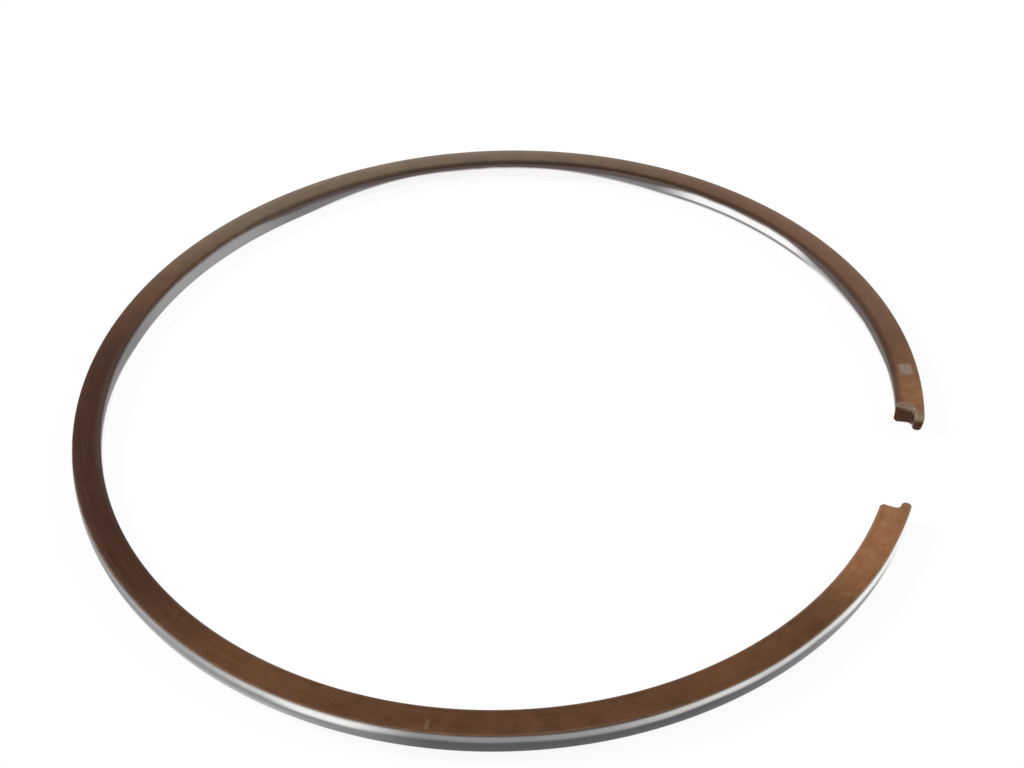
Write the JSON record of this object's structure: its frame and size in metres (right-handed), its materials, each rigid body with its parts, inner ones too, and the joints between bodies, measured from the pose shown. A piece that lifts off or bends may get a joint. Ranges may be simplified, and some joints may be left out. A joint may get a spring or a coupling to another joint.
{
  "type": "piston ring",
  "caption": "Split metal piston ring in its free form, with a crowned bright sliding face, brown side faces and a round pin relief on the inside of each end.",
  "frame": {"origin": "middle of the ring's outline, on its lower side face", "axes": "+Z square to the side faces, up from the one it lies on; +X from the middle of the ring to the middle of its free gap"},
  "size_m": [0.0578, 0.0594, 0.0015],
  "materials": {
    "ring_metal": "satin brown side faces, bright plated sliding face and grey turned bore"
  },
  "bodies": {
    "root": {"piston_ring": "ring_metal"}
  },
  "joints": []
}
